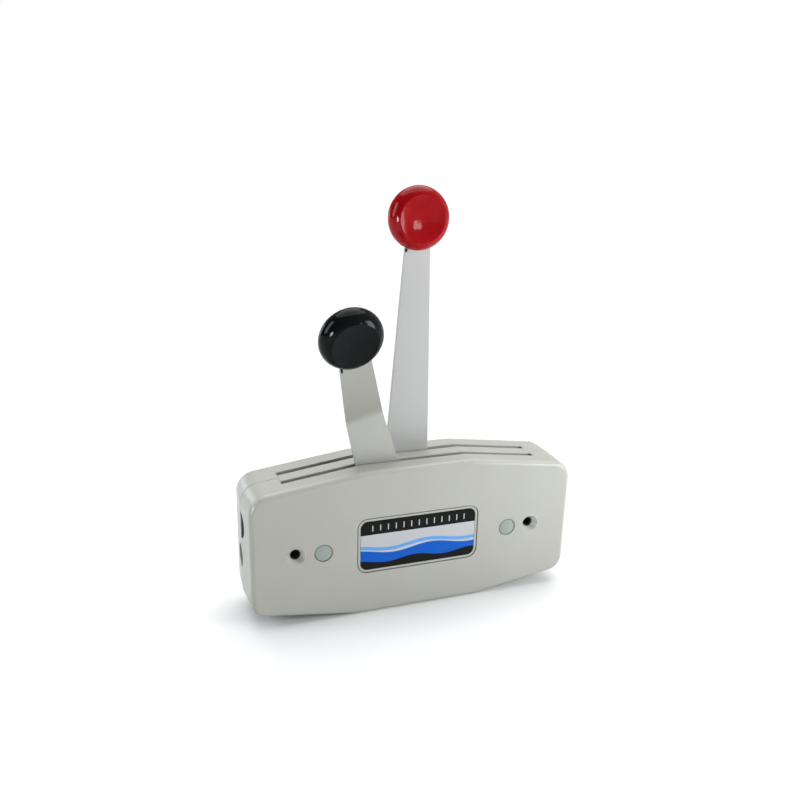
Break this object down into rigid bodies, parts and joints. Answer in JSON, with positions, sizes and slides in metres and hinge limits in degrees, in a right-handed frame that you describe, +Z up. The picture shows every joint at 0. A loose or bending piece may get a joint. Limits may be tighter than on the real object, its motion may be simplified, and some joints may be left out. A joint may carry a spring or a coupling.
{
  "type": "boat throttle control lever",
  "caption": "Side-mount boat engine control: a slim moulded housing with a long red-knobbed throttle lever and a short black-knobbed shift lever.",
  "frame": {"origin": "midway between the two mounting holes, on the flat rear face of the housing", "axes": "+X along the housing away from the cable ports, +Y from the front face into the wall behind, +Z up along the throttle lever"},
  "size_m": [0.2112, 0.0627, 0.2564],
  "materials": {
    "shell_plastic": "light warm grey moulded plastic, fine satin grain",
    "label_print": null,
    "cap_plastic": "translucent grey-green plastic",
    "lever_metal": "satin light grey paint",
    "red_plastic": "glossy red moulding",
    "black_plastic": "glossy black moulding",
    "zinc_steel": "bright zinc plate",
    "brass": "turned brass",
    "friction_fibre": "brown pressed fibre",
    "bush_nylon": "natural nylon"
  },
  "bodies": {
    "housing": {"front_cover": "shell_plastic", "rear_cover": "shell_plastic", "centre_divider": "shell_plastic", "label_plate": "label_print", "screw_caps": "cap_plastic", "housing_screws": "zinc_steel", "threaded_inserts": "brass", "mounting_sleeves": "zinc_steel", "pivot_bolt": "zinc_steel", "pivot_nut": "zinc_steel", "plain_washers": "zinc_steel", "friction_washers": "friction_fibre", "spring_washer": "zinc_steel", "shift_cable_clamp": "zinc_steel", "throttle_cable_clamp": "zinc_steel", "clamp_screws": "zinc_steel"},
    "throttle_arm": {"throttle_lever": "lever_metal", "throttle_knob": "red_plastic", "throttle_knob_screw": "zinc_steel", "throttle_bush": "bush_nylon"},
    "shift_arm": {"shift_lever": "lever_metal", "shift_knob": "black_plastic", "shift_knob_screw": "zinc_steel", "shift_bush": "bush_nylon"},
    "throttle_cable_pin": {"throttle_swivel": "brass", "throttle_swivel_screw": "zinc_steel", "throttle_swivel_clip": "zinc_steel"},
    "shift_cable_pin": {"shift_swivel": "brass", "shift_swivel_screw": "zinc_steel", "shift_swivel_clip": "zinc_steel"}
  },
  "joints": [
    {"name": "throttle_pivot", "type": "hinge", "parent": "housing", "child": "throttle_arm", "pos_m": [-0.0018, -0.0152, -0.032], "axis": [0, 1, 0], "range_deg": [-41.48, 38.52]},
    {"name": "shift_pivot", "type": "hinge", "parent": "housing", "child": "shift_arm", "pos_m": [-0.0018, -0.0287, -0.032], "axis": [0, 1, 0], "range_deg": [-24.7, 55.3]},
    {"name": "throttle_swivel_turn", "type": "hinge", "parent": "throttle_arm", "child": "throttle_cable_pin", "pos_m": [-0.00118, -0.0152, -0.00801], "axis": [0, 1, 0], "range_deg": [-38.52, 41.48]},
    {"name": "shift_swivel_turn", "type": "hinge", "parent": "shift_arm", "child": "shift_cable_pin", "pos_m": [-0.01447, -0.0287, 0.0143], "axis": [0, 1, 0], "range_deg": [-55.3, 24.7]}
  ],
  "couplings": [
    {"joint": "throttle_swivel_turn", "follows": "throttle_pivot", "ratio": -1},
    {"joint": "shift_swivel_turn", "follows": "shift_pivot", "ratio": -1}
  ]
}
